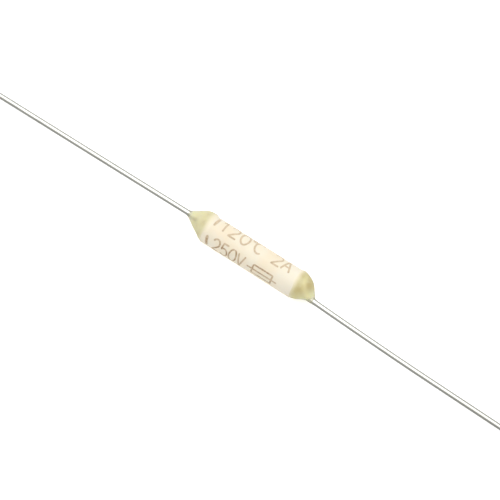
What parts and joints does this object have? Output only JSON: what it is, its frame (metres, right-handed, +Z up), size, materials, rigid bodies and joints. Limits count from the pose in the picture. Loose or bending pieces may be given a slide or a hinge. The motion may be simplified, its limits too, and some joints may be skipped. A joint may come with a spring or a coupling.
{
  "type": "thermal fuse",
  "caption": "Axial thermal fuse: a round ceramic tube sealed with epoxy at both ends, a stiff tinned wire lead leaving each end, and a fusible alloy rod in flux inside.",
  "frame": {"origin": "middle of the ceramic tube, on its axis", "axes": "+X along the tube's axis towards the lead that leaves its seal well off centre, +Z up from the flat surface that the fuse lies on"},
  "size_m": [0.0915, 0.0031, 0.0031],
  "materials": {
    "ceramic": "matte",
    "epoxy": "satin",
    "tinned_wire": "satin",
    "fusible_alloy": "satin",
    "flux_resin": "gloss",
    "marking_ink": "matte"
  },
  "bodies": {
    "root": {"ceramic_tube": "ceramic", "left_seal": "epoxy", "right_seal": "epoxy", "left_lead": "tinned_wire", "right_lead": "tinned_wire", "fusible_element": "fusible_alloy", "flux_coating": "flux_resin"}
  },
  "joints": []
}
